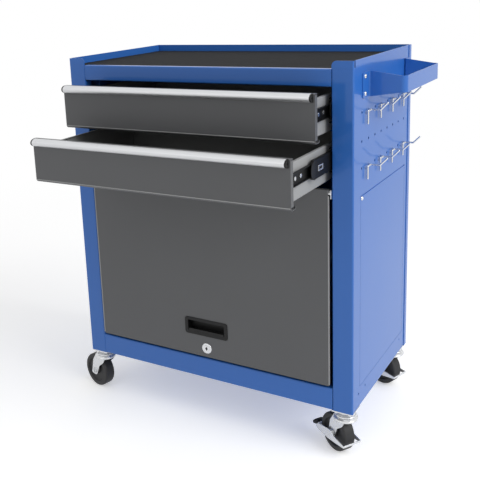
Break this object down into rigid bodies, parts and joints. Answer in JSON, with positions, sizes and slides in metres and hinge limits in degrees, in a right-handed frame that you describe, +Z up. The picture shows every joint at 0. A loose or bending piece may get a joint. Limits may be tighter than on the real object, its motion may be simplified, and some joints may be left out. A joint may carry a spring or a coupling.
{
  "type": "rolling tool cabinet",
  "caption": "Blue sheet-metal tool cabinet on swivel casters, with open drawers on ball-bearing slides, a top-hinged door, a rimmed top tray, a side handle and peg hooks",
  "frame": {"origin": "on the floor, straight under the middle of the body", "axes": "+Z up, the front faces -Y, the handle side faces +X"},
  "size_m": [0.7177, 0.5354, 0.747],
  "materials": {
    "body_blue": "smooth semi-gloss enamel",
    "front_grey": "fine satin powder coat",
    "tray_grey": "satin light grey coat",
    "grip_metal": "satin extruded",
    "zinc": "bright zinc plate",
    "slide_steel": "dark slide steel",
    "bare_steel": "bright steel wire and fasteners",
    "black_plastic": "moulded, fine grain",
    "mat_grey": "ribbed mat sheet",
    "liner_black": "soft drawer liner",
    "wheel_black": "solid wheel"
  },
  "bodies": {
    "cabinet": {"left_side_panel": "body_blue", "right_side_panel": "body_blue", "lower_side_panels": "body_blue", "back_panel": "body_blue", "base_panel": "body_blue", "bottom_rail": "body_blue", "top_rail": "body_blue", "top_panel": "body_blue", "top_mat": "mat_grey", "slide_posts": "body_blue", "slide_outers": "slide_steel", "side_handle": "body_blue", "body_screws": "bare_steel", "side_hooks": "bare_steel", "door_brackets": "bare_steel", "caster_plates": "zinc", "caster_bolts": "bare_steel"},
    "drawer_1": {"drawer_tray_1": "tray_grey", "drawer_front_1": "front_grey", "drawer_grip_1": "grip_metal", "grip_caps_1": "black_plastic", "drawer_liner_1": "liner_black", "slide_inners_1": "slide_steel", "slide_screws_1": "bare_steel", "slide_levers_1": "bare_steel"},
    "slide_middle_1": {"slide_middles_1": "slide_steel", "slide_noses_1": "black_plastic"},
    "outer_cages_1": {"ball_cages_outer_1": "bare_steel"},
    "inner_cages_1": {"ball_cages_inner_1": "bare_steel"},
    "drawer_2": {"drawer_tray_2": "tray_grey", "drawer_front_2": "front_grey", "drawer_grip_2": "grip_metal", "grip_caps_2": "black_plastic", "drawer_liner_2": "liner_black", "slide_inners_2": "slide_steel", "slide_screws_2": "bare_steel", "slide_levers_2": "bare_steel"},
    "slide_middle_2": {"slide_middles_2": "slide_steel", "slide_noses_2": "black_plastic"},
    "outer_cages_2": {"ball_cages_outer_2": "bare_steel"},
    "inner_cages_2": {"ball_cages_inner_2": "bare_steel"},
    "door": {"door_panel": "front_grey", "pull_cup": "black_plastic", "lock_housing": "zinc"},
    "lock": {"lock_cylinder": "zinc"},
    "fork_fr": {"caster_fork_fr": "zinc", "caster_axle_fr": "bare_steel"},
    "wheel_fr": {"caster_wheel_fr": "wheel_black"},
    "brake_fr": {"caster_brake_fr": "zinc"},
    "fork_fl": {"caster_fork_fl": "zinc", "caster_axle_fl": "bare_steel"},
    "wheel_fl": {"caster_wheel_fl": "wheel_black"},
    "fork_rr": {"caster_fork_rr": "zinc", "caster_axle_rr": "bare_steel"},
    "wheel_rr": {"caster_wheel_rr": "wheel_black"},
    "brake_rr": {"caster_brake_rr": "zinc"},
    "fork_rl": {"caster_fork_rl": "zinc", "caster_axle_rl": "bare_steel"},
    "wheel_rl": {"caster_wheel_rl": "wheel_black"}
  },
  "joints": [
    {"name": "drawer_1_slide", "type": "slide", "parent": "cabinet", "child": "drawer_1", "axis": [0, -1, 0], "range_m": [-0.07, 0.2]},
    {"name": "middle_1_slide", "type": "slide", "parent": "cabinet", "child": "slide_middle_1", "axis": [0, -1, 0], "range_m": [-0.0352, 0.1002]},
    {"name": "outer_cages_1_slide", "type": "slide", "parent": "cabinet", "child": "outer_cages_1", "axis": [0, -1, 0], "range_m": [-0.0177, 0.0502]},
    {"name": "inner_cages_1_slide", "type": "slide", "parent": "cabinet", "child": "inner_cages_1", "axis": [0, -1, 0], "range_m": [-0.0527, 0.1502]},
    {"name": "drawer_2_slide", "type": "slide", "parent": "cabinet", "child": "drawer_2", "axis": [0, -1, 0], "range_m": [-0.169, 0.101]},
    {"name": "middle_2_slide", "type": "slide", "parent": "cabinet", "child": "slide_middle_2", "axis": [0, -1, 0], "range_m": [-0.0847, 0.0507]},
    {"name": "outer_cages_2_slide", "type": "slide", "parent": "cabinet", "child": "outer_cages_2", "axis": [0, -1, 0], "range_m": [-0.04245, 0.02545]},
    {"name": "inner_cages_2_slide", "type": "slide", "parent": "cabinet", "child": "inner_cages_2", "axis": [0, -1, 0], "range_m": [-0.12695, 0.07595]},
    {"name": "door_hinge", "type": "hinge", "parent": "cabinet", "child": "door", "pos_m": [0, -0.166, 0.5168], "axis": [-1, 0, 0], "range_deg": [0, 88]},
    {"name": "lock_turn", "type": "hinge", "parent": "door", "child": "lock", "pos_m": [0, -0.171, 0.1668], "axis": [0, 1, 0], "range_deg": [0, 90]},
    {"name": "swivel_fr", "type": "hinge", "parent": "cabinet", "child": "fork_fr", "pos_m": [0.284, -0.1465, 0.097], "axis": [0, 0, 1], "continuous": true},
    {"name": "wheel_fr_spin", "type": "hinge", "parent": "fork_fr", "child": "wheel_fr", "pos_m": [0.26365, -0.13378, 0.0375], "axis": [-0.5299, -0.848, 0], "continuous": true},
    {"name": "brake_fr_press", "type": "hinge", "parent": "fork_fr", "child": "brake_fr", "pos_m": [0.26365, -0.13378, 0.0375], "axis": [-0.5299, -0.848, 0], "range_deg": [0, 8]},
    {"name": "swivel_fl", "type": "hinge", "parent": "cabinet", "child": "fork_fl", "pos_m": [-0.284, -0.1465, 0.097], "axis": [0, 0, 1], "continuous": true},
    {"name": "wheel_fl_spin", "type": "hinge", "parent": "fork_fl", "child": "wheel_fl", "pos_m": [-0.30729, -0.14069, 0.0375], "axis": [-0.2419, -0.9703, 0], "continuous": true},
    {"name": "swivel_rr", "type": "hinge", "parent": "cabinet", "child": "fork_rr", "pos_m": [0.284, 0.1465, 0.097], "axis": [0, 0, 1], "continuous": true},
    {"name": "wheel_rr_spin", "type": "hinge", "parent": "fork_rr", "child": "wheel_rr", "pos_m": [0.26145, 0.15471, 0.0375], "axis": [-0.342, -0.9397, 0], "continuous": true},
    {"name": "brake_rr_press", "type": "hinge", "parent": "fork_rr", "child": "brake_rr", "pos_m": [0.26145, 0.15471, 0.0375], "axis": [-0.342, -0.9397, 0], "range_deg": [0, 8]},
    {"name": "swivel_rl", "type": "hinge", "parent": "cabinet", "child": "fork_rl", "pos_m": [-0.284, 0.1465, 0.097], "axis": [0, 0, 1], "continuous": true},
    {"name": "wheel_rl_spin", "type": "hinge", "parent": "fork_rl", "child": "wheel_rl", "pos_m": [-0.30575, 0.15664, 0.0375], "axis": [-0.4226, -0.9063, 0], "continuous": true}
  ],
  "couplings": [
    {"joint": "middle_1_slide", "follows": "drawer_1_slide", "ratio": 0.5},
    {"joint": "outer_cages_1_slide", "follows": "drawer_1_slide", "ratio": 0.25},
    {"joint": "inner_cages_1_slide", "follows": "drawer_1_slide", "ratio": 0.75},
    {"joint": "middle_2_slide", "follows": "drawer_2_slide", "ratio": 0.5},
    {"joint": "outer_cages_2_slide", "follows": "drawer_2_slide", "ratio": 0.25},
    {"joint": "inner_cages_2_slide", "follows": "drawer_2_slide", "ratio": 0.75}
  ]
}
